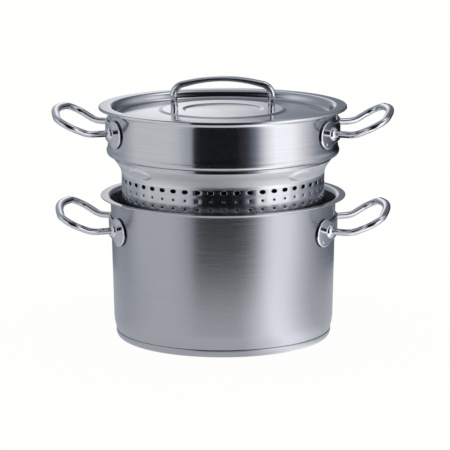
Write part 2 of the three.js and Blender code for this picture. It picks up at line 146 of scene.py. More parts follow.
# Lid
LID_GAUGE = 1.0
FLANGE_LEVEL = 249.9
LID_EDGE = 131.8
LID_EDGE_DROP = 1.6
LID_FLANGE = 9.3
LID_WALL_RUN = 10.0
LID_WALL_TUCK = 3.2
LID_DECK_DEPTH = 9.4
PLATFORM_RADIUS = 64.5
PLATFORM_DEPTH = 4.2
DECK_AT_PLATFORM = 5.6
HOLLOW_RADIUS = 40.5
HOLLOW_DEPTH = 5.7
HOLLOW_RUN = 3.0
PLATFORM_RUN = 4.2
LID_ROUNDS = (3.0, 2.5, 2.5, 3.0, 6.0, 5.5, 0.5)
FLANGE_MARGIN = 2.0
PLATFORM_LEVEL = FLANGE_LEVEL - PLATFORM_DEPTH + LID_GAUGE

# Handles
LID_HANDLE_RISE = 32.8
LID_HANDLE_FOOT = 51.7
LID_HANDLE_SHOULDER = 53.5
LID_HANDLE_CAMBER = 6.5
LID_HANDLE_BEND = 13.0
LID_HANDLE_CROWN = 150.0
CROWN_HALF = (2.9, 5.75)
LEG_HALF = (3.9, 4.8)
ROD_OFFSET = 42.2
ELBOW = 17.3
SHOULDER = 46.4
REACH = 58.0
SPREAD = math.radians(32.2)
TILT = math.radians(27.1)
ELBOW_RADIUS = 30.0
SHOULDER_RADIUS = 16.0
END_RADIUS = 175.0
BAR_HALF = (3.55, 4.45)
BAR_STEP = 1.5
BAR_SIDES = 24
POT_HANDLE_DROP = 33.1
POT_HANDLE_LEVEL = POT_HEIGHT - POT_HANDLE_DROP
COLLAR_HANDLE_DROP = 23.8

# Brackets
PLATE = 2.4
PLATE_STEP = 1.2
PLATE_GRID = 1.6
LOBE_OFFSET = 52.9
LOBE = 15.0
WAIST = 21.0
WAIST_FILLET = 40.0
BOSS = 4.0
BOSS_ROOT = 2.2
BOSS_RISE = 4.6
BOSS_RADIUS = 7.6
BOSS_SWEEP = math.radians(75)
BOSS_STEPS = 10
BOSS_SIDES = 48
SOCKET = 1.2
WELD_DOT = (58.5, -9.0)
WELD_DOT_RADIUS = 1.5
WELD_DOT_RISE = 0.525
WELD_DOT_STEPS = 3
WELD_DOT_SIDES = 20

# How far a plate's edge is drawn in, and how far below the face
PLATE_EDGE = ((0.0, PLATE), (0.0, 1.0), (0.12, 0.5), (0.5, 0.12), (1.1, 0.0))


def wall_radius(z):
    return POT_WALL_TOP - (FLARE_START - z) * math.tan(POT_DRAFT)


BASE_RADIUS = wall_radius(SHELL_FLOOR + HEEL + HEEL_SWEEP) - HEEL_TUCK

# Brushing: waves for each metre along and across it, and the share of the radius in the height
BRUSH_ALONG = 9.0
BRUSH_ACROSS = 900.0
BRUSH_RADIAL = 0.83
BRUSH_CHANGE = 0.15
BRUSH_DEPTH = 0.0001

# Polish: large soft clouds and fine marks
CLOUD_SCALE = 60.0
CLOUD_CHANGE = 0.03
CLOUD_DEPTH = 0.001
MARK_SCALE = 900.0
MARK_CHANGE = 0.3

# Middle range of a noise
NOISE_LOW = 0.3
NOISE_HIGH = 0.7


# Materials
def new_noise(tree, vector, scale, detail, roughness=0.5):
    noise = tree.nodes.new("ShaderNodeTexNoise")
    noise.inputs["Scale"].default_value = scale
    noise.inputs["Detail"].default_value = detail
    noise.inputs["Roughness"].default_value = roughness
    tree.links.new(vector, noise.inputs["Vector"])
    return noise.outputs["Fac"]


def brush_lines(tree):
    """A noise drawn out round the upright axis: long along the brushing and short across it."""
    nodes, links = tree.nodes, tree.links
    place = nodes.new("ShaderNodeTexCoord")
    split = nodes.new("ShaderNodeSeparateXYZ")
    links.new(place.outputs["Object"], split.inputs[0])
    flat = nodes.new("ShaderNodeCombineXYZ")
    links.new(split.outputs["X"], flat.inputs["X"])
    links.new(split.outputs["Y"], flat.inputs["Y"])
    radius = nodes.new("ShaderNodeVectorMath")
    radius.operation = "LENGTH"
    links.new(flat.outputs[0], radius.inputs[0])
    blend = nodes.new("ShaderNodeMath")
    blend.operation = "MULTIPLY_ADD"
    links.new(radius.outputs["Value"], blend.inputs[0])
    blend.inputs[1].default_value = BRUSH_RADIAL
    links.new(split.outputs["Z"], blend.inputs[2])
    mixed = nodes.new("ShaderNodeCombineXYZ")
    links.new(split.outputs["X"], mixed.inputs["X"])
    links.new(split.outputs["Y"], mixed.inputs["Y"])
    links.new(blend.outputs[0], mixed.inputs["Z"])
    scale = nodes.new("ShaderNodeVectorMath")
    scale.operation = "MULTIPLY"
    links.new(mixed.outputs[0], scale.inputs[0])
    scale.inputs[1].default_value = (BRUSH_ALONG, BRUSH_ALONG, BRUSH_ACROSS)
    return new_noise(tree, scale.outputs[0], scale=1.0, detail=4.0, roughness=0.65)


def spread(tree, source, middle, change):
    """A value that runs higher and lower by a share with a noise."""
    ranged = tree.nodes.new("ShaderNodeMapRange")
    ranged.inputs["From Min"].default_value = NOISE_LOW
    ranged.inputs["From Max"].default_value = NOISE_HIGH
    ranged.inputs["To Min"].default_value = middle * (1 - change)
    ranged.inputs["To Max"].default_value = middle * (1 + change)
    tree.links.new(source, ranged.inputs["Value"])
    return ranged.outputs["Result"]


def tint(tree, source, colour, change):
    """A colour that runs lighter and darker by a share with a noise."""
    ramp = tree.nodes.new("ShaderNodeValToRGB")
    dark, light = ramp.color_ramp.elements
    dark.position, light.position = NOISE_LOW, NOISE_HIGH
    dark.color = tuple(c * (1 - change) for c in colour) + (1,)
    light.color = tuple(min(1, c * (1 + change)) for c in colour) + (1,)
    tree.links.new(source, ramp.inputs["Fac"])
    return ramp.outputs["Color"]


def link_relief(tree, shader, height, strength, depth):
    relief = tree.nodes.new("ShaderNodeBump")
    relief.inputs["Strength"].default_value = strength
    relief.inputs["Distance"].default_value = depth
    tree.links.new(height, relief.inputs["Height"])
    tree.links.new(relief.outputs["Normal"], shader.inputs["Normal"])


def new_metal(name):
    material = bpy.data.materials.new(name)
    material.use_nodes = True
    tree = material.node_tree
    shader = tree.nodes["Principled BSDF"]
    shader.inputs["Metallic"].default_value = 1.0
    return material, tree, shader


def brushed(name, colour, roughness, anisotropy, change=0.06, bump=0.06):
    """Steel brushed in rings round the upright axis, so light spreads across the rings."""
    material, tree, shader = new_metal(name)
    lines = brush_lines(tree)
    tree.links.new(tint(tree, lines, colour, change), shader.inputs["Base Color"])
    tree.links.new(spread(tree, lines, roughness, BRUSH_CHANGE), shader.inputs["Roughness"])
    shader.inputs["Anisotropic"].default_value = anisotropy
    shader.inputs["Anisotropic Rotation"].default_value = 0.25
    tangent = tree.nodes.new("ShaderNodeTangent")
    tangent.direction_type = "RADIAL"
    tangent.axis = "Z"
    tree.links.new(tangent.outputs["Tangent"], shader.inputs["Tangent"])
    link_relief(tree, shader, lines, bump, BRUSH_DEPTH)
    return material


def polished(name, colour, roughness, waviness=0.02, edge_tint=1.0):
    """Bright steel with faint polishing marks and a slight unevenness in its reflections."""
    material, tree, shader = new_metal(name)
    shader.inputs["Specular Tint"].default_value = (edge_tint, edge_tint, edge_tint, 1)
    place = tree.nodes.new("ShaderNodeTexCoord").outputs["Object"]
    clouds = new_noise(tree, place, CLOUD_SCALE, detail=3.0)
    marks = new_noise(tree, place, MARK_SCALE, detail=2.0)
    tree.links.new(tint(tree, clouds, colour, CLOUD_CHANGE), shader.inputs["Base Color"])
    tree.links.new(spread(tree, marks, roughness, MARK_CHANGE), shader.inputs["Roughness"])
    link_relief(tree, shader, clouds, waviness, CLOUD_DEPTH)
    return material


POT_STEEL = brushed("pot_wall_steel", (0.47, 0.478, 0.51), 0.28, 0.45, change=0.035, bump=0.035)
RIM_STEEL = polished("rim_steel", (0.64, 0.645, 0.67), 0.13, edge_tint=0.75)
INNER_STEEL = brushed("inner_steel", (0.38, 0.385, 0.41), 0.4, 0.4)
BASE_STEEL = brushed("base_steel", (0.48, 0.487, 0.515), 0.3, 0.5)
COLLAR_STEEL = brushed("collar_steel", (0.63, 0.635, 0.66), 0.17, 0.7, bump=0.03)
BASKET_STEEL = brushed("basket_steel", (0.6, 0.605, 0.63), 0.18, 0.6, bump=0.03)
# The neck and the bend under it are lighter copies of the basket's steel: painted light
NECK_STEEL_PAINTED_LIGHT = brushed("neck_steel_painted_light", (0.95, 0.965, 0.995), 0.6, 0.3, bump=0.03)
BEND_STEEL_PAINTED_LIGHT = brushed("bend_steel_painted_light", (0.78, 0.785, 0.81), 0.33, 0.4, bump=0.03)
LID_STEEL = brushed("lid_steel", (0.6, 0.605, 0.635), 0.15, 0.7, bump=0.04)
FLANGE_STEEL = polished("flange_steel", (0.7, 0.705, 0.73), 0.1, edge_tint=0.78)
PLATE_STEEL = polished("plate_steel", (0.78, 0.785, 0.81), 0.1, waviness=0.01)
# Near-black steel on the plates' rounded sides: a painted shade line round each plate's edge
PLATE_SIDE_PAINTED_SHADE = polished("plate_side_painted_shade", (0.05, 0.05, 0.055), 0.3)
BAR_STEEL = polished("bar_steel", (0.72, 0.725, 0.745), 0.06, waviness=0.005)
CORE_METAL = brushed("core_metal", (0.74, 0.75, 0.76), 0.45, 0.3)


# Meshes
def piece(name, verts, faces, materials, body, node, indices=None, sharp=40, weld=1e-4):
    """A mesh of points in millimetres that stands for a CAD node and rides on its body."""
    mesh = bpy.data.meshes.new(name)
    mesh.from_pydata([Vector(v) * MM for v in verts], [], faces)
    for material in materials:
        mesh.materials.append(material)
    if indices:
        mesh.polygons.foreach_set("material_index", indices)
    shape = bmesh.new()
    shape.from_mesh(mesh)
    bmesh.ops.remove_doubles(shape, verts=shape.verts, dist=weld * MM)
    bmesh.ops.recalc_face_normals(shape, faces=shape.faces)
    shape.to_mesh(mesh)
    shape.free()
    mesh.shade_smooth()
    mesh.set_sharp_from_angle(angle=math.radians(sharp))
    obj = bpy.data.objects.new(name, mesh)
    bpy.context.scene.collection.objects.link(obj)
    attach(obj, body)
    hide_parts(node)
    return obj


def ease(value, low, high):
    """A smooth step from nothing at low to one at high."""
    share = max(0.0, min(1.0, (value - low) / (high - low)))
    return share * share * (3 - 2 * share)


def arc(cx, cz, radius, start, end, steps):
    """Points of an arc in (radius, height), by angles in degrees."""
    angles = [math.radians(start + (end - start) * i / steps) for i in range(steps + 1)]
    return [(cx + radius * math.cos(a), cz + radius * math.sin(a)) for a in angles]


def bezier(a, b, c, steps):
    """Points of a curve from a to c that leans towards b."""
    points = []
    for i in range(steps + 1):
        t = i / steps
        shares = ((1 - t) ** 2, 2 * t * (1 - t), t * t)
        points.append(tuple(sum(s * p for s, p in zip(shares, axis)) for axis in zip(a, b, c)))
    return points


def tidy(points):
    """Drops doubled points and adds loops by the ends of long straights, so they stay flat in shading."""
    clean = [points[0]]
    for point in points[1:]:
        if math.dist(point, clean[-1]) > SAME_POINT:
            clean.append(point)
    out = [clean[0]]
    for a, b in zip(clean, clean[1:]):
        length = math.dist(a, b)
        if length > LONG_STRAIGHT:
            for t in (LOOP_MARGIN / length, 1 - LOOP_MARGIN / length):
                out.append((a[0] + (b[0] - a[0]) * t, a[1] + (b[1] - a[1]) * t))
        out.append(b)
    return out


def offset(path, gauge):
    """The sheet's other face, one gauge to the left of the way along it."""
    out = []
    for i, point in enumerate(path):
        before = path[max(i - 1, 0)], path[max(i, 1)]
        after = path[min(i, len(path) - 2)], path[min(i + 1, len(path) - 1)]
        lefts = [Vector((a[1] - b[1], b[0] - a[0])).normalized() for a, b in (before, after)]
        mitre = (lefts[0] + lefts[1]).normalized()
        out.append(tuple(Vector(point) + mitre * gauge / mitre.dot(lefts[1])))
    return out


def edge(a, b, behind):
    """Points of a rounded edge from a to b, standing out away from the point behind."""
    a, b = Vector(a), Vector(b)
    out = (a - Vector(behind)).normalized()
    middle, half = (a + b) / 2, (a - b) / 2
    bulge = out * half.length * EDGE_BULGE
    turns = [math.pi * i / EDGE_STEPS for i in range(1, EDGE_STEPS)]
    return [tuple(middle + half * math.cos(t) + bulge * math.sin(t)) for t in turns]


def sheet(path, gauge, round_start=False):
    """A section of a sheet, with its free edges rounded over."""
    outer = tidy(path)
    inner = offset(outer, gauge)
    section = outer + edge(outer[-1], inner[-1], outer[-2]) + inner[::-1]
    if round_start:
        section += edge(inner[0], outer[0], inner[1])
    return section


def polar(angle, r, z):
    """A point by its angle round Z from the camera's side, its radius and its height."""
    return (r * math.sin(angle), -r * math.cos(angle), z)


def plain(r, z, k):
    """One material for a whole section."""
    return 0


def lathe(section, sides, finish=plain, closed=True, turn=0.0):
    """Points, faces and material numbers of a section turned round Z, by finish(radius, height, side)."""
    verts, rings, faces, indices = [], [], [], []
    for r, z in section:
        if r < SAME_POINT:
            rings.append([len(verts)] * sides)
            verts.append((0, 0, z))
        else:
            rings.append(range(len(verts), len(verts) + sides))
            verts += [polar(turn + TURN * i / sides, r, z) for i in range(sides)]
    count = len(section)
    for k in range(count if closed else count - 1):
        a, b = rings[k], rings[(k + 1) % count]
        p, q = section[k], section[(k + 1) % count]
        number = finish((p[0] + q[0]) / 2, (p[1] + q[1]) / 2, k)
        for i in range(sides):
            j = (i + 1) % sides
            face = [a[i], a[j], b[j], b[i]]
            face = [v for n, v in enumerate(face) if v not in face[:n]]
            if len(face) > 2:
                faces.append(face)
                indices.append(number)
    return verts, faces, indices


def join_loops(faces, loops):
    """Adds the faces between each closed loop of point numbers and the next."""
    for a, b in zip(loops, loops[1:]):
        for i in range(len(a)):
            j = (i + 1) % len(a)
            faces.append([a[i], a[j], b[j], b[i]])


def ring_edges(first, count):
    """Edges round a closed loop of points that are numbered in a row."""
    return [(first + i, first + (i + 1) % count) for i in range(count)]


def fill(points, edges):
    """Points and triangles that fill what closed loops of edges go round."""
    return delaunay_2d_cdt(points, edges, [], 1, 1e-6)[0:3:2]


# Pot shell and base
def pot_path():
    """The shell's outer face, from the middle of its floor to the lip."""
    top = SHELL_FLOOR + HEEL
    middle, end = top + HEEL_SWEEP / 2, top + HEEL_SWEEP
    lip = POT_HEIGHT - POT_GAUGE
    heel = (BASE_RADIUS, top)
    path = [(0, SHELL_FLOOR)]
    path += bezier((BASE_RADIUS - HEEL, SHELL_FLOOR), (BASE_RADIUS, SHELL_FLOOR), heel, steps=10)
    path += bezier(heel, (wall_radius(middle), middle), (wall_radius(end), end), steps=10)
    for i in range(FLARE_STEPS + 1):
        t = math.pi / 2 * i / FLARE_STEPS
        out, drop = FLARE_RUN * (1 - math.cos(t)), FLARE_RISE * (1 - math.sin(t))
        path.append((POT_WALL_TOP + out, lip - drop))
    path.append((POT_WALL_TOP + POT_FLARE + POT_LIP - EDGE_BULGE * POT_GAUGE / 2, lip))
    return path


def build_pot():
    outer_count = len(tidy(pot_path()))
    section = sheet(pot_path(), POT_GAUGE)

    def finish(r, z, k):
        if k < outer_count - POLISHED_RINGS:
            return 0
        return 1 if z > POT_HEIGHT - POT_GAUGE - FLARE_RISE else 2

    verts, faces, indices = lathe(section, ROUND_SIDES, finish, closed=False)
    materials = [POT_STEEL, RIM_STEEL, INNER_STEEL]
    piece("pot_shell", verts, faces, materials, "pot", "pot_body", indices)


def build_base():
    heel = SHELL_FLOOR + HEEL * (1 - math.sqrt((CAP_GAUGE + FIT) / HEEL)) ** 2
    path = [(0, 0)]
    path += arc(BASE_RADIUS - BASE_EDGE, BASE_EDGE, BASE_EDGE, -90, 0, steps=14)
    path.append((BASE_RADIUS, heel + CAP_LAP))
    verts, faces, indices = lathe(sheet(path, CAP_GAUGE), ROUND_SIDES, closed=False)
    piece("pot_base", verts, faces, [BASE_STEEL], "pot", "base_cap", indices)
    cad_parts["base_core"].data.materials.clear()
    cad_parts["base_core"].data.materials.append(CORE_METAL)


# Strainer basket
def cell_border(low, high, top_steps):
    """Points round a cell in (-1 to 1, height), anticlockwise from its lower left."""
    steps = [i / CELL_STEPS for i in range(CELL_STEPS)]
    points = [(-1 + 2 * t, low) for t in steps]
    points += [(1, low + (high - low) * t) for t in steps]
    points += [(1 - 2 * i / top_steps, high) for i in range(top_steps)]
    points += [(-1, high - (high - low) * t) for t in steps]
    return points


def hole_cell(verts, faces, border, middle, level, half_sizes):
    """A cell of the wall: from its border in to the hole, through the sheet and back out to the border."""
    loops = []
    for depth, grow in [(0.0, None), *HOLE_EDGE, (BASKET_GAUGE, 0.0), (BASKET_GAUGE, None)]:
        loop = []
        for u, z in border:
            x, y = u * CELL_HALF, z - level
            if grow is not None:
                bearing = math.atan2(y, x)
                x = (half_sizes[0] + grow) * math.cos(bearing)
                y = (half_sizes[1] + grow) * math.sin(bearing)
            loop.append(len(verts))
            verts.append(polar(middle + x / BASKET_RADIUS, BASKET_RADIUS - depth, level + y))
        loops.append(loop)
    join_loops(faces, loops)


def perforated_wall(verts, faces):
    """The basket's straight wall, with a cell for each hole. Returns the level of its lower edge."""
    ovals = NECK_START - OVAL_DROP
    rows = [(ovals, OVAL, NECK_START, NECK_STEPS)]
    for k in range(1, SMALL_ROWS + 1):
        level = ovals - k * ROW_PITCH
        rows.append((level, SMALL, level + ROW_PITCH / 2, CELL_STEPS))
    for level, half_sizes, high, top_steps in rows:
        border = cell_border(level - ROW_PITCH / 2, high, top_steps)
        for column in range(COLUMNS):
            hole_cell(verts, faces, border, HOLE_TURN + TURN * column / COLUMNS, level, half_sizes)
    return rows[-1][0] - ROW_PITCH / 2


def pad_height(angle, z):
    """How far the four pressed pads stand out of the neck at a place on it."""
    height = 0.0
    for place in (PAD_ANGLE, -PAD_ANGLE, math.pi - PAD_ANGLE, math.pi + PAD_ANGLE):
        turn = (angle - place + math.pi) % TURN - math.pi
        reach = math.hypot(turn * PAD_RADIUS / PAD_HALF[0], (z - PAD_LEVEL) / PAD_HALF[1])
        height += PAD_DEPTH * ease(1 - reach, 0, PAD_EDGE)
    return height


def neck_profile():
    """The neck from the top row of holes up to the seat flange, on its outer face."""
    path = []
    for i in range(NECK_BEND_STEPS + 1):
        lean = NECK_ANGLE * i / NECK_BEND_STEPS
        out, rise = NECK_RADIUS * (1 - math.cos(lean)), NECK_RADIUS * math.sin(lean)
        path.append((BASKET_RADIUS + out, NECK_START + rise))
    r, z = path[-1]
    for i in range(1, NECK_SLOPE_STEPS + 1):
        t = i / NECK_SLOPE_STEPS
        path.append((r + (BEAD_RADIUS - r) * t, z + (BEAD_LEVEL - z) * t))
    path.append((BEAD_RADIUS, BEAD_LEVEL + BEAD_STEP))
    return path + [(BEAD_RADIUS, SEAT_LEVEL), (FLANGE_RADIUS, SEAT_LEVEL)]


def neck_surface(verts, faces):
    outer = neck_profile()
    inner = offset(outer, BASKET_GAUGE)
    sides = COLUMNS * NECK_STEPS
    rings = []
    for r, z in outer + inner[::-1]:
        rings.append(range(len(verts), len(verts) + sides))
        for i in range(sides):
            angle = FIRST_CELL + TURN * i / sides
            lift = pad_height(angle, z)
            verts.append(polar(angle, r + lift * PAD_OUT, z - lift * PAD_DOWN))
    join_loops(faces, rings)


def floor_plate(verts, faces, rim):
    """The raised floor inside the foot ring, with rings of round holes."""
    low = FOOT_LEVEL + FLOOR_RISE
    high = low + BASKET_GAUGE
    holes = []
    for ring in range(1, FLOOR_RINGS + 1):
        count = FLOOR_RING_HOLES * ring
        holes += [polar(TURN * k / count, ring * FLOOR_RING_PITCH, 0)[:2] for k in range(count)]
    sides = FLOOR_HOLE_SIDES
    turns = [TURN * i / sides for i in range(sides)]
    circle = [(FLOOR_HOLE * math.cos(t), FLOOR_HOLE * math.sin(t)) for t in turns]
    circles = [[(x + a, y + b) for a, b in circle] for x, y in holes]
    points = [Vector(p) for p in rim]
    edges = ring_edges(0, len(rim))
    for circle in circles:
        edges += ring_edges(len(points), sides)
        points += [Vector(p) for p in circle]
    flat, triangles = fill(points, edges)
    for level in (low, high):
        base = len(verts)
        verts += [(p.x, p.y, level) for p in flat]
        for triangle in triangles:
            centre = sum((flat[i] for i in triangle), Vector((0, 0))) / 3
            if all(math.dist(centre, hole) > FLOOR_HOLE * FLOOR_HOLE_KEEP for hole in holes):
                faces.append([base + i for i in triangle])
    for circle in circles:
        base = len(verts)
        verts += [(x, y, level) for level in (low, high) for x, y in circle]
        join_loops(faces, [range(base, base + sides), range(base + sides, base + 2 * sides)])


def basket_finish(foot):
    """Material number of a face by its lowest level: the neck and the bend under it, lighter copies of the
    steel with painted light, or the plain basket.
    """
    if not NECK_START - BEND_FOOT < foot < BEAD_LEVEL - BEAD_MARGIN:
        return 0
    return 1 if foot > NECK_START + BEND_HEAD else 2


def build_basket():
    verts, faces = [], []
    wall_foot = perforated_wall(verts, faces)
    neck_surface(verts, faces)
    heel = BASKET_RADIUS - BASKET_HEEL
    foot = heel - FOOT_WIDTH
    heel_top = (BASKET_RADIUS, FOOT_LEVEL + BASKET_HEEL)
    path = [(foot - FLOOR_RISE, FOOT_LEVEL + FLOOR_RISE), (foot, FOOT_LEVEL)]
    path += bezier((heel, FOOT_LEVEL), (BASKET_RADIUS, FOOT_LEVEL), heel_top, steps=10)
    path = tidy(path + [(BASKET_RADIUS, wall_foot)])
    inner = offset(path, BASKET_GAUGE)
    inner[0] = (path[0][0], path[0][1] + BASKET_GAUGE)
    sides = COLUMNS * CELL_STEPS
    for profile in (path, inner):
        more, quads, _ = lathe(profile, sides, closed=False, turn=FIRST_CELL)
        base = len(verts)
        verts += more
        faces += [[base + i for i in quad] for quad in quads]
    rim = [polar(FIRST_CELL + TURN * i / sides, path[0][0], 0)[:2] for i in range(sides)]
    floor_plate(verts, faces, rim)
    indices = [basket_finish(min(verts[i][2] for i in face)) for face in faces]
    materials = [BASKET_STEEL, NECK_STEEL_PAINTED_LIGHT, BEND_STEEL_PAINTED_LIGHT]
    node, slot = "strainer_basket", "basket_steel"
    piece("strainer", verts, faces, materials, "insert", node, indices, weld=2e-3)


# Collar and lid
def build_collar():
    top = COLLAR_RIM - COLLAR_GAUGE
    flare = top - COLLAR_FLARE
    lip = COLLAR_RADIUS + COLLAR_FLARE
    shoulder = SEAM_LEVEL + SEAM_BEND[1]
    hem = (SEAM_RADIUS, shoulder)
    band = (COLLAR_RADIUS, shoulder + SEAM_BAND)
    path = [(BEAD_RADIUS + FIT, SEAM_LEVEL)]
    path += bezier((SEAM_RADIUS - SEAM_BEND[0], SEAM_LEVEL), (SEAM_RADIUS, SEAM_LEVEL), hem, steps=14)
    path += bezier(hem, (COLLAR_RADIUS, shoulder + SEAM_EASE), band, steps=12)
    path += bezier((COLLAR_RADIUS, flare), (COLLAR_RADIUS, top), (lip, top), steps=14)
    path.append((lip + COLLAR_LIP - EDGE_BULGE * COLLAR_GAUGE / 2, top))
    section = sheet(path, COLLAR_GAUGE, round_start=True)

    def finish(r, z, k):
        return 1 if z > flare + RIM_MARGIN else 0

    verts, faces, indices = lathe(section, ROUND_SIDES, finish)
    materials = [COLLAR_STEEL, RIM_STEEL]
    piece("collar", verts, faces, materials, "insert", "insert_collar", indices)


def rounded(points, radii):
    """A line through points with each inner corner rounded by its radius."""
    path = [points[0]]
    for i, radius in enumerate(radii):
        a, b, c = (Vector(p) for p in points[i:i + 3])
        back, ahead = (a - b).normalized(), (c - b).normalized()
        half = back.angle(ahead) / 2
        cut = radius / math.tan(half)
        path += bezier(tuple(b + back * cut), tuple(b), tuple(b + ahead * cut), steps=6)
    path.append(points[-1])
    return path


def build_lid():
    wall_top = LID_EDGE - LID_FLANGE
    wall_foot = wall_top - LID_WALL_RUN
    points = [
        (0, FLANGE_LEVEL - HOLLOW_DEPTH),
        (HOLLOW_RADIUS, FLANGE_LEVEL - HOLLOW_DEPTH),
        (HOLLOW_RADIUS + HOLLOW_RUN, FLANGE_LEVEL - PLATFORM_DEPTH),
        (PLATFORM_RADIUS, FLANGE_LEVEL - PLATFORM_DEPTH),
        (PLATFORM_RADIUS + PLATFORM_RUN, FLANGE_LEVEL - DECK_AT_PLATFORM),
        (wall_foot + LID_WALL_TUCK, FLANGE_LEVEL - LID_DECK_DEPTH),
        (wall_top - LID_WALL_TUCK, FLANGE_LEVEL),
        (LID_EDGE, FLANGE_LEVEL),
        (LID_EDGE, FLANGE_LEVEL - LID_EDGE_DROP),
    ]
    section = sheet(rounded(points, LID_ROUNDS), LID_GAUGE)

    def finish(r, z, k):
        return 1 if r > wall_foot + FLANGE_MARGIN else 0

    verts, faces, indices = lathe(section, ROUND_SIDES, finish, closed=False)
    piece("lid_pan", verts, faces, [LID_STEEL, FLANGE_STEEL], "lid", "lid_dish", indices)


# Bars
def bent(corners, radii, step):
    """Points along straights and round bends, about one step apart."""
    marks = [Vector(corners[0])]
    for i, radius in enumerate(radii):
        a, b, c = (Vector(p) for p in corners[i:i + 3])
        back, ahead = (a - b).normalized(), (c - b).normalized()
        half = back.angle(ahead) / 2
        middle = (back + ahead).normalized()
        centre = b + middle * radius / math.sin(half)
        start = b + back * radius / math.tan(half) - centre
        axis = start.cross(-middle).normalized()
        count = max(4, math.ceil(radius * (math.pi - 2 * half) / step))
        for k in range(count + 1):
            marks.append(Matrix.Rotation((math.pi - 2 * half) * k / count, 3, axis) @ start + centre)
    marks.append(Vector(corners[-1]))
    line = [marks[0]]
    for a, b in zip(marks, marks[1:]):
        count = max(1, math.ceil((b - a).length / step))
        line += [a.lerp(b, k / count) for k in range(1, count + 1)]
    return line


def bar(line, upright_at, half_at):
    """A closed oval bar along a line. half_at gives its half sizes along the upright and across it."""
    verts, faces, rings = [], [], []
    for i, point in enumerate(line):
        ahead = (line[min(i + 1, len(line) - 1)] - line[max(i - 1, 0)]).normalized()
        normal = upright_at(point)
        normal = (normal - ahead * normal.dot(ahead)).normalized()
        across = ahead.cross(normal)
        a, b = half_at(point)
        rings.append(list(range(len(verts), len(verts) + BAR_SIDES)))
        for k in range(BAR_SIDES):
            t = TURN * k / BAR_SIDES
            verts.append(point + normal * a * math.cos(t) + across * b * math.sin(t))
    join_loops(faces, rings)
    faces += [rings[0][::-1], rings[-1]]
    return verts, faces


def build_lid_handle():
    foot, shoulder = LID_HANDLE_FOOT, LID_HANDLE_SHOULDER
    base = PLATFORM_LEVEL + FIT
    crown = PLATFORM_LEVEL + LID_HANDLE_RISE - CROWN_HALF[0]
    low, high = crown - LID_HANDLE_CAMBER, crown + LID_HANDLE_CAMBER
    corners = [(-foot, 0, base), (-shoulder, 0, low), (0, 0, high), (shoulder, 0, low), (foot, 0, base)]
    line = bent(corners, [LID_HANDLE_BEND, LID_HANDLE_CROWN, LID_HANDLE_BEND], BAR_STEP)

    def upright_at(point):
        return Vector((point.x, 0, point.z - PLATFORM_LEVEL))

    def half_at(point):
        share = min(1.0, (point.x / foot) ** 2)
        return [c + (leg - c) * share for c, leg in zip(CROWN_HALF, LEG_HALF)]

    verts, faces = bar(line, upright_at, half_at)
    piece("lid_arch", verts, faces, [BAR_STEEL], "lid", "lid_handle", sharp=50)


def build_side_bar(name, wall, level, sign, body, node):
    """A loop handle from one rod's socket round to the other's, tilted up from its elbows."""
    angle = math.asin(ROD_OFFSET / wall)
    wall_x = wall * math.cos(angle)
    start = wall_x + (BOSS - SOCKET + FIT) * math.cos(angle)
    elbow, shoulder, end = wall + ELBOW, wall + SHOULDER, wall + REACH

    def rise(x):
        return level + max(0.0, x - elbow) * math.tan(TILT)

    def along_rod(x):
        return ROD_OFFSET + (x - wall_x) * math.tan(angle)

    shoulder_y = along_rod(elbow) + (shoulder - elbow) * math.tan(SPREAD)
    half = [(start, along_rod(start)), (elbow, along_rod(elbow)), (shoulder, shoulder_y)]
    loop = [(x, -y) for x, y in half] + [(end, 0)] + half[::-1]
    corners = [(sign * x, sign * y, rise(x)) for x, y in loop]
    radii = [ELBOW_RADIUS, SHOULDER_RADIUS, END_RADIUS, SHOULDER_RADIUS, ELBOW_RADIUS]
    line = bent(corners, radii, BAR_STEP)

    def upright_at(point):
        lean = TILT * min(1.0, (point.z - level) / (rise(shoulder) - level))
        return Vector((-math.sin(lean) * sign, 0, math.cos(lean)))

    verts, faces = bar(line, upright_at, lambda point: BAR_HALF)
    piece(name, verts, faces, [BAR_STEEL], body, node, sharp=50)


# Brackets
def bone_fillet():
    """Place and lean of the round between the plate's waist and a lobe."""
    up = WAIST / 2 + WAIST_FILLET
    reach = math.sqrt((LOBE + WAIST_FILLET) ** 2 - up ** 2)
    return LOBE_OFFSET - reach, up, math.atan2(up, reach)


def dog_bone(shrink):
    """The plate's outline in (along the wall, up), drawn in by shrink."""
    side, up, lean = bone_fillet()
    lobe, fillet = LOBE - shrink, WAIST_FILLET + shrink
    runs = [
        (LOBE_OFFSET, 0, lobe, lean - math.pi, math.pi - lean),
        (side, up, fillet, -lean, -math.pi / 2),
        (-side, up, fillet, -math.pi / 2, lean - math.pi),
        (-LOBE_OFFSET, 0, lobe, lean, TURN - lean),
        (-side, -up, fillet, math.pi - lean, math.pi / 2),
        (side, -up, fillet, math.pi / 2, lean),
    ]
    points = []
    for cx, cy, radius, start, end in runs:
        full = LOBE if radius == lobe else WAIST_FILLET
        count = max(3, math.ceil(abs(end - start) * full / PLATE_STEP))
        for i in range(count):
            a = start + (end - start) * i / count
            points.append((cx + radius * math.cos(a), cy + radius * math.sin(a)))
    outline = []
    for a, b in zip(points, points[1:] + points[:1]):
        count = max(1, round(math.dist(a, b) / PLATE_STEP))
        outline += [tuple(Vector(a).lerp(Vector(b), i / count)) for i in range(count)]
    return outline


def inside_bone(y, z, shrink):
    """Whether a place lies inside the plate's outline, drawn in by shrink."""
    side, up, lean = bone_fillet()
    y, z = abs(y), abs(z)
    if math.hypot(y - LOBE_OFFSET, z) < LOBE - shrink:
        return True
    if y > side + WAIST_FILLET * math.cos(lean):
        return False
    if y < side:
        return z < WAIST / 2 - shrink
    return math.hypot(y - side, z - up) > WAIST_FILLET + shrink


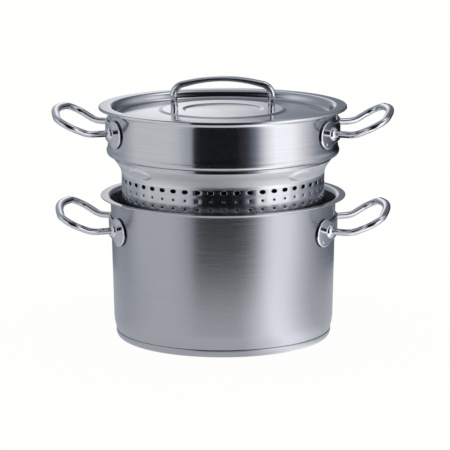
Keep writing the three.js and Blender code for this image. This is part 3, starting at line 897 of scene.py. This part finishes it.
def plate_grid(shrink):
    """Places of a grid over the plate, inside its outline drawn in by shrink."""
    columns = math.ceil((LOBE_OFFSET + LOBE) / PLATE_GRID)
    rows = math.ceil(LOBE / PLATE_GRID)
    places = []
    for i in range(-columns, columns + 1):
        places += [(i * PLATE_GRID, j * PLATE_GRID) for j in range(-rows, rows + 1)]
    return [place for place in places if inside_bone(*place, shrink)]


def plate_mesh(place):
    """Points and faces of a plate with its edge rounded over, and how many faces its side has."""
    verts, faces, loops = [], [], []
    for shrink, below in PLATE_EDGE:
        outline = dog_bone(shrink)
        loops.append(range(len(verts), len(verts) + len(outline)))
        verts += [place(y, z, PLATE - below) for y, z in outline]
    join_loops(faces, loops)
    for shrink, below in (PLATE_EDGE[0], PLATE_EDGE[-1]):
        outline = dog_bone(shrink)
        points = [Vector(p) for p in outline + plate_grid(shrink + PLATE_GRID / 2)]
        flat, triangles = fill(points, ring_edges(0, len(outline)))
        base = len(verts)
        verts += [place(p.x, p.y, PLATE - below) for p in flat]
        faces += [[base + i for i in triangle] for triangle in triangles]
    return verts, faces, len(loops[0])


def turned(profile, sides):
    """Points and faces of a profile in (along X, radius) turned round X, closed at its first end."""
    verts, faces, rings = [], [], []
    for along, radius in profile:
        rings.append(list(range(len(verts), len(verts) + sides)))
        for k in range(sides):
            t = TURN * k / sides
            verts.append((along, radius * math.cos(t), radius * math.sin(t)))
    join_loops(faces, rings)
    faces.append(rings[0])
    return verts, faces


def build_boss(name, wall, level, bearing, body, node):
    """A domed boss round a rod, facing out along the rod's bearing."""
    turns = [BOSS_SWEEP * i / BOSS_STEPS for i in range(BOSS_STEPS + 1)]
    profile = [(BOSS_ROOT + BOSS_RISE * math.sin(t), BOSS_RADIUS * math.cos(t)) for t in turns]
    verts, faces = turned(profile, BOSS_SIDES)
    spin = Matrix.Rotation(bearing, 3, "Z")
    verts = [spin @ Vector((wall + x, y, z)) + Vector((0, 0, level)) for x, y, z in verts]
    piece(name, verts, faces, [PLATE_STEEL], body, node, sharp=60)


def build_weld_dot(name, spot, body, node):
    """A small dome on the plate's face."""
    turns = [math.pi / 2 * i / WELD_DOT_STEPS for i in range(WELD_DOT_STEPS, -1, -1)]
    profile = [(WELD_DOT_RISE * math.cos(t), WELD_DOT_RADIUS * math.sin(t)) for t in turns]
    verts, faces = turned(profile, WELD_DOT_SIDES)
    out = Vector((spot.x, spot.y, 0)).normalized()
    lean = Vector((1, 0, 0)).rotation_difference(out).to_matrix()
    verts = [lean @ Vector(v) + spot for v in verts]
    piece(name, verts, faces, [PLATE_STEEL], body, node, sharp=60)


def build_bracket(name, wall, draft, level, sign, body, node):
    """A plate that hugs the wall, with a boss at each rod and a weld dot on each lobe."""

    def place(y, z, out):
        r = wall + z * math.tan(draft) + FIT + out
        return (sign * math.sqrt(r * r - y * y), sign * y, level + z)

    verts, faces, side_count = plate_mesh(place)
    # The side faces carry the near-black steel, a painted shade line along the plate's edge
    indices = [1] * side_count + [0] * (len(faces) - side_count)
    materials = [PLATE_STEEL, PLATE_SIDE_PAINTED_SHADE]
    piece(name + "_plate", verts, faces, materials, body, node, indices, sharp=50)
    angle = math.asin(ROD_OFFSET / wall)
    for side in (-1, 1):
        near = "front" if side * sign < 0 else "back"
        bearing = side * angle + (0 if sign > 0 else math.pi)
        build_boss(f"{name}_{near}_boss", wall, level, bearing, body, node)
        spot = Vector(place(side * WELD_DOT[0], WELD_DOT[1], PLATE))
        build_weld_dot(f"{name}_{near}_dot", spot, body, node)


build_pot()
build_base()
build_basket()
build_collar()
build_lid()
build_lid_handle()
for body, wall, draft, level in (
    ("pot", wall_radius(POT_HANDLE_LEVEL), POT_DRAFT, POT_HANDLE_LEVEL),
    ("insert", COLLAR_RADIUS, 0.0, COLLAR_RIM - COLLAR_HANDLE_DROP),
):
    for side, sign in (("right", 1), ("left", -1)):
        build_side_bar(f"{body}_{side}_bar", wall, level, sign, body, f"{body}_{side}_handle")
        build_bracket(f"{body}_{side}", wall, draft, level, sign, body, f"{body}_{side}_bracket")

# Studio, in metres: a pale floor, a white world and soft cards that only the steel sees
WORLD_WHITE = (0.995, 0.995, 0.98, 1)
WORLD_DIM = 0.8
FLOOR_RADIUS = 0.4
FLOOR_MATT = (0.9, 0.9, 0.885, 1)
FLOOR_WHITE = (1.007, 1.007, 0.992, 1)
FLOOR_WHITE_SHARE = 0.96
DOME_RADIUS = 2.3
BEARING_STEP = 3
RISE_STEP = 2.5
LOWEST_RISE = -87.5
HIGHEST_RISE = 89.9
CARD_DIM = (0.87, 0.96, 1.13, 1)
CARD_BRIGHT = (0.985, 0.993, 1.02, 1)

# Brightness of the cards by bearing from the camera's side, in degrees, to the right
GLOW = [
    (-180, 0.62), (-178, 0.9), (-175.5, 1.08), (-173.5, 1.08), (-172, 0.95), (-170, 0.72), (-166, 0.52),
    (-160, 0.42), (-145, 0.34), (-125, 0.36), (-110, 0.5), (-92, 0.73), (-52, 0.74), (-42, 0.68),
    (-34, 0.52), (-27.5, 0.45), (-27, 0.01), (15, 0.01), (26, 0.05), (34, 0.25), (44, 1.0), (54, 1.42),
    (72, 1.38), (88, 0.94), (105, 0.58), (120, 0.5), (135, 0.3), (147, 0.17), (168, 0.14), (174, 0.22),
    (178, 0.35), (180, 0.62),
]

# A dimmer low part behind, with the limits of bearing and rise where it comes in and ends
LOW_BACK = [(-180, 0.22), (-150, 0.26), (-128, 0.5), (128, 0.3), (150, 0.2), (180, 0.22)]
LOW_BACK_SIDE = (105, 130)
LOW_BACK_END = (1, 9)

# The table below the horizon, and its ring round the pot: radius and share of the table's light, lower near
# the pot as a painted contact shadow
TABLE = [
    (-180, 0.58), (-80, 0.58), (-40, 0.72), (28, 0.72), (43, 1.15), (56, 1.58), (66, 1.46), (81, 1.0),
    (98, 0.71), (180, 0.58),
]
TABLE_DIP = (26, 46)
TABLE_TURN = 14.0
TABLE_LEVEL = 0.0005
TABLE_RING_WITH_PAINTED_SHADOW = [(0.105, 0.9), (0.122, 0.95), (0.15, 1.0), (0.4, 1.0)]

# A dark flag behind on the right, as the share of light that it takes
BACK_FLAG = [
    (-180, 0), (80, 0), (95, 0.15), (110, 0.42), (128, 0.55), (145, 0.95), (165, 0.95), (178, 0.3), (180, 0),
]
BACK_FLAG_RISE = ((-7, -4.5), (6, 12))

# The ceiling, a dark flag on it towards the front, and a small high card behind on the right
CEILING = 0.36
CEILING_RISE = (32, 56)
FRONT_FLAG = 0.01
FRONT_FLAG_SIDE = (60, 95)
FRONT_FLAG_RISE = ((30, 44), (64, 78))
HIGH_CARD = 1.35
HIGH_CARD_BEARING = 119.0
HIGH_CARD_RISE = 63.0
HIGH_CARD_WIDTH = 10.0

# Camera fitted to the photograph, in metres and pixels
CAMERA_DISTANCE = 2.626
CAMERA_HEIGHT = 0.623
CAMERA_SIDE = math.radians(2)
CAMERA_PITCH = math.radians(10.85)
CAMERA_BEARING = math.radians(-1.956)
CAMERA_ROLL = math.radians(-0.15)
FOCAL_PIXELS = 2478
PHOTO_PIXELS = 450
SENSOR_WIDTH = 36.0


def white_for_view(tree, dim):
    """One where the camera or a reflection looks, and a plain level for the rest of the light."""
    path = tree.nodes.new("ShaderNodeLightPath")
    seen = path.outputs["Is Camera Ray"]
    for other in ("Is Glossy Ray", "Is Transmission Ray"):
        both = tree.nodes.new("ShaderNodeMath")
        both.operation = "MAXIMUM"
        tree.links.new(seen, both.inputs[0])
        tree.links.new(path.outputs[other], both.inputs[1])
        seen = both.outputs[0]
    level = tree.nodes.new("ShaderNodeMapRange")
    level.inputs["To Min"].default_value = dim
    tree.links.new(seen, level.inputs["Value"])
    return level.outputs["Result"]


def build_world():
    world = bpy.data.worlds.new("studio")
    world.use_nodes = True
    bpy.context.scene.world = world
    background = world.node_tree.nodes["Background"]
    background.inputs["Color"].default_value = WORLD_WHITE
    world.node_tree.links.new(white_for_view(world.node_tree, WORLD_DIM), background.inputs["Strength"])


def bare_material(name):
    """A material with an output and no shader yet."""
    material = bpy.data.materials.new(name)
    material.use_nodes = True
    tree = material.node_tree
    tree.nodes.remove(tree.nodes["Principled BSDF"])
    return material, tree


def build_floor():
    """A matt floor that is nearly white where it is seen, so only a faint shadow shows."""
    bpy.ops.mesh.primitive_circle_add(vertices=96, radius=FLOOR_RADIUS, fill_type="NGON")
    floor = bpy.context.object
    floor.name = "floor"
    material, tree = bare_material("floor")
    matt = tree.nodes.new("ShaderNodeBsdfDiffuse")
    matt.inputs["Color"].default_value = FLOOR_MATT
    glow = tree.nodes.new("ShaderNodeEmission")
    glow.inputs["Color"].default_value = FLOOR_WHITE
    mix = tree.nodes.new("ShaderNodeMixShader")
    tree.links.new(white_for_view(tree, 0.0), mix.inputs["Fac"])
    part = tree.nodes.new("ShaderNodeMixShader")
    part.inputs["Fac"].default_value = FLOOR_WHITE_SHARE
    tree.links.new(matt.outputs[0], part.inputs[1])
    tree.links.new(glow.outputs[0], part.inputs[2])
    tree.links.new(matt.outputs[0], mix.inputs[1])
    tree.links.new(part.outputs[0], mix.inputs[2])
    tree.links.new(mix.outputs[0], tree.nodes["Material Output"].inputs["Surface"])
    floor.data.materials.append(material)


def level_at(marks, bearing):
    """The level at a bearing, on straight lines between the marks."""
    for (a, low), (b, high) in zip(marks, marks[1:]):
        if bearing <= b:
            return low + (high - low) * (bearing - a) / (b - a)


def band(value, start, end):
    """One between two eased limits, and nothing beyond them."""
    return ease(value, *start) * (1 - ease(value, *end))


def glow_at(bearing, rise):
    """Light of the dome at a bearing and a rise in degrees."""
    value = level_at(GLOW, bearing)
    low_back = ease(abs(bearing), *LOW_BACK_SIDE) * (1 - ease(rise, *LOW_BACK_END))
    value += (level_at(LOW_BACK, bearing) - value) * low_back
    value += (level_at(TABLE, bearing) - value) * ease(-rise, *TABLE_DIP)
    value *= 1 - level_at(BACK_FLAG, bearing) * band(rise, *BACK_FLAG_RISE)
    value += (CEILING - value) * ease(rise, *CEILING_RISE)
    front = 1 - ease(abs(bearing), *FRONT_FLAG_SIDE)
    value += (FRONT_FLAG - value) * front * band(rise, *FRONT_FLAG_RISE)
    across = (bearing - HIGH_CARD_BEARING) * math.cos(math.radians(HIGH_CARD_RISE))
    away = (across ** 2 + (rise - HIGH_CARD_RISE) ** 2) / HIGH_CARD_WIDTH ** 2
    return value + HIGH_CARD * math.exp(-away)


def dome_mesh():
    """The dome of cards and the ring of table round the pot, with the light of each point."""
    bearings = sorted({*range(-180, 181, BEARING_STEP), *(bearing for bearing, _ in GLOW)})
    rises = [LOWEST_RISE + RISE_STEP * i for i in range(round((90 - LOWEST_RISE) / RISE_STEP) + 1)]
    verts, faces, levels = [], [], []
    for rise in rises:
        slope = math.radians(min(rise, HIGHEST_RISE))
        reach, height = DOME_RADIUS * math.cos(slope), DOME_RADIUS * math.sin(slope)
        verts += [polar(math.radians(bearing), reach, height) for bearing in bearings]
        levels += [glow_at(bearing, rise) for bearing in bearings]
    # The ring's share drops towards the pot: a painted contact shadow, seen only in reflections
    for reach, share in TABLE_RING_WITH_PAINTED_SHADOW:
        verts += [polar(math.radians(bearing), reach, TABLE_LEVEL) for bearing in bearings]
        levels += [share * level_at(TABLE, min(180, bearing + TABLE_TURN)) for bearing in bearings]
    wide, high = len(bearings), len(rises)
    for j in [*range(high - 1), *range(high, high + len(TABLE_RING_WITH_PAINTED_SHADOW) - 1)]:
        for i in range(wide - 1):
            low, top = j * wide + i, (j + 1) * wide + i
            faces.append([low, low + 1, top + 1, top])
    mesh = bpy.data.meshes.new("soft_cards")
    mesh.from_pydata(verts, [], faces)
    mesh.attributes.new("glow", "FLOAT", "POINT").data.foreach_set("value", levels)
    return mesh


def card_material():
    """Light by the mesh's own level, bluer where it is dim."""
    material, tree = bare_material("soft_cards")
    level = tree.nodes.new("ShaderNodeAttribute")
    level.attribute_name = "glow"
    glow = tree.nodes.new("ShaderNodeEmission")
    shade = tree.nodes.new("ShaderNodeValToRGB")
    dim, bright = shade.color_ramp.elements
    dim.position, bright.position = 0.25, 0.75
    dim.color, bright.color = CARD_DIM, CARD_BRIGHT
    tree.links.new(level.outputs["Fac"], shade.inputs["Fac"])
    tree.links.new(shade.outputs["Color"], glow.inputs["Color"])
    tree.links.new(level.outputs["Fac"], glow.inputs["Strength"])
    tree.links.new(glow.outputs[0], tree.nodes["Material Output"].inputs["Surface"])
    material.cycles.emission_sampling = "NONE"
    return material


def build_cards():
    mesh = dome_mesh()
    mesh.materials.append(card_material())
    cards = bpy.data.objects.new("soft_cards", mesh)
    bpy.context.scene.collection.objects.link(cards)
    cards.visible_camera = False
    cards.visible_diffuse = False
    cards.visible_shadow = False


def build_camera():
    data = bpy.data.cameras.new("camera")
    data.sensor_width = SENSOR_WIDTH
    data.lens = FOCAL_PIXELS / PHOTO_PIXELS * SENSOR_WIDTH
    camera = bpy.data.objects.new("camera", data)
    bpy.context.scene.collection.objects.link(camera)
    camera.location = polar(CAMERA_SIDE, CAMERA_DISTANCE, CAMERA_HEIGHT)
    level = math.cos(CAMERA_PITCH)
    ahead = (math.sin(CAMERA_BEARING) * level, math.cos(CAMERA_BEARING) * level, -math.sin(CAMERA_PITCH))
    look = Vector(ahead).to_track_quat("-Z", "Y").to_matrix() @ Matrix.Rotation(CAMERA_ROLL, 3, "Z")
    camera.rotation_euler = look.to_euler()
    bpy.context.scene.camera = camera


build_world()
build_floor()
build_cards()
build_camera()
bpy.context.scene.view_settings.view_transform = "Standard"
